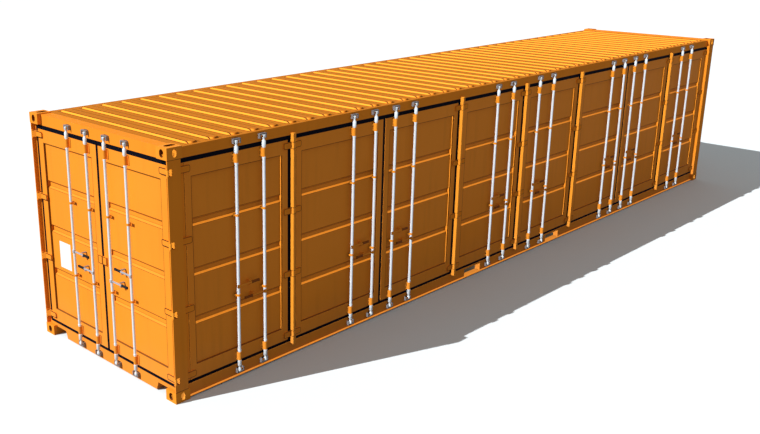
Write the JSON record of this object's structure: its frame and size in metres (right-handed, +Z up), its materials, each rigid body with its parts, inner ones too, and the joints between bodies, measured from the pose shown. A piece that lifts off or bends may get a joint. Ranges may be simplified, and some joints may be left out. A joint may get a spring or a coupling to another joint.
{
  "type": "side-door shipping container",
  "caption": "Long steel freight box with cargo doors at one end, folding doors along one side, locking bars, slotted corner castings and fork pockets.",
  "frame": {"origin": "on the ground under the middle of the box", "axes": "+X along the length from the cargo doors to the blind end, +Y away from the folding side doors, +Z up"},
  "size_m": [12.192, 2.438, 2.591],
  "materials": {
    "frame_paint": "satin paint",
    "casting_paint": "thick satin paint over a rough casting",
    "underside_paint": "bituminous coating",
    "bar_steel": "galvanised",
    "bracket_paint": "satin paint",
    "seal_rubber": "matt",
    "door_paint": "satin paint on pressed sheet",
    "wall_paint": "satin paint on corrugated sheet",
    "deck_timber": "sealed plywood",
    "roof_paint": "satin paint on pressed sheet"
  },
  "bodies": {
    "box": {"blind_end_bottom_rail": "frame_paint", "blind_end_top_rail": "frame_paint", "bottom_rail_blind": "frame_paint", "bottom_rail_doors": "frame_paint", "centre_post": "frame_paint", "corner_fittings_bottom": "casting_paint", "corner_fittings_top": "casting_paint", "cross_members": "underside_paint", "door_header": "frame_paint", "door_sill": "frame_paint", "end_keepers": "bracket_paint", "end_wall_blind": "wall_paint", "floor_boards": "deck_timber", "fold_hinge_bars": "frame_paint", "fork_pockets": "underside_paint", "post_blind_left": "frame_paint", "post_blind_right": "frame_paint", "post_door_left": "frame_paint", "post_door_right": "frame_paint", "roof_panel": "roof_paint", "side_bearings": "bracket_paint", "side_gaskets": "seal_rubber", "side_handle_catches": "bracket_paint", "side_hinges": "bracket_paint", "side_keepers": "bracket_paint", "side_leaf_1": "door_paint", "side_leaf_2": "door_paint", "side_leaf_3": "door_paint", "side_leaf_4": "door_paint", "side_leaf_5": "door_paint", "side_leaf_6": "door_paint", "side_leaf_7": "door_paint", "side_leaf_8": "door_paint", "side_locking_bars": "bar_steel", "side_wall_blind": "wall_paint", "top_rail_blind": "frame_paint", "top_rail_doors": "frame_paint"},
    "door_left": {"end_leaf_left": "door_paint", "end_gasket_left": "seal_rubber", "end_bearings_left": "bracket_paint", "handle_catches_left": "bracket_paint"},
    "door_right": {"end_leaf_right": "door_paint", "end_gasket_right": "seal_rubber", "end_bearings_right": "bracket_paint", "handle_catches_right": "bracket_paint"},
    "bar_left_outer": {"end_bar_left_outer": "bar_steel"},
    "bar_left_inner": {"end_bar_left_inner": "bar_steel"},
    "bar_right_outer": {"end_bar_right_outer": "bar_steel"},
    "bar_right_inner": {"end_bar_right_inner": "bar_steel"}
  },
  "joints": [
    {"name": "door_left_hinge", "type": "hinge", "parent": "box", "child": "door_left", "pos_m": [-6.082, 1.205, 1.29], "axis": [0, 0, -1], "range_deg": [0, 265]},
    {"name": "door_right_hinge", "type": "hinge", "parent": "box", "child": "door_right", "pos_m": [-6.082, -1.205, 1.29], "axis": [0, 0, 1], "range_deg": [0, 265]},
    {"name": "bar_left_outer_turn", "type": "hinge", "parent": "door_left", "child": "bar_left_outer", "pos_m": [-6.074, 0.522, 1.29], "axis": [0, 0, 1], "range_deg": [-90, 0]},
    {"name": "bar_left_inner_turn", "type": "hinge", "parent": "door_left", "child": "bar_left_inner", "pos_m": [-6.074, 0.17, 1.29], "axis": [0, 0, -1], "range_deg": [-90, 0]},
    {"name": "bar_right_outer_turn", "type": "hinge", "parent": "door_right", "child": "bar_right_outer", "pos_m": [-6.074, -0.522, 1.29], "axis": [0, 0, -1], "range_deg": [-90, 0]},
    {"name": "bar_right_inner_turn", "type": "hinge", "parent": "door_right", "child": "bar_right_inner", "pos_m": [-6.074, -0.17, 1.29], "axis": [0, 0, 1], "range_deg": [-90, 0]}
  ]
}
